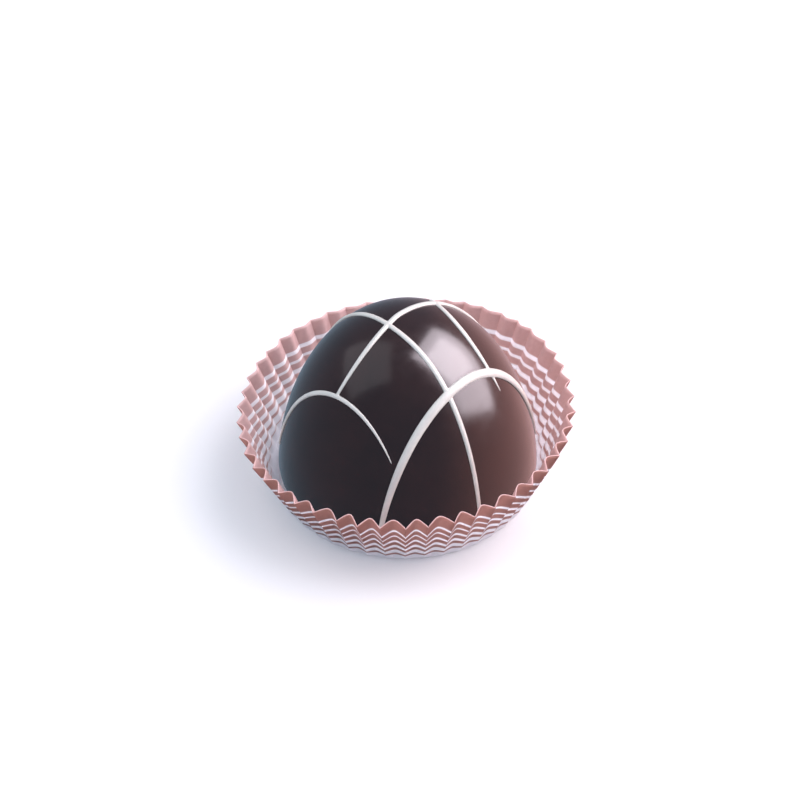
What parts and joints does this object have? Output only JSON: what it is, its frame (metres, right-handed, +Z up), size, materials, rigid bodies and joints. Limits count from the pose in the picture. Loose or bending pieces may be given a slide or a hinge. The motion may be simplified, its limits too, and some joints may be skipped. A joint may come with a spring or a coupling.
{
  "type": "chocolate truffle in a paper case",
  "caption": "Tall moulded dark chocolate dome with thin piped white chocolate lines, standing in a low, flared, pleated paper case.",
  "frame": {"origin": "centre of the underside of the paper case's flat base", "axes": "+Z up, along the case's axis; the side seen from the front faces -Y; +X to the right"},
  "size_m": [0.04, 0.04, 0.0223],
  "materials": {
    "case_paper": "thin matte paper, printed brown-pink with fine white rings, fading to white at the base",
    "dark_chocolate": "glossy moulded dark chocolate",
    "white_chocolate": "satin ivory white chocolate"
  },
  "bodies": {
    "root": {"paper_case": "case_paper", "truffle": "dark_chocolate", "white_lines": "white_chocolate"}
  },
  "joints": []
}
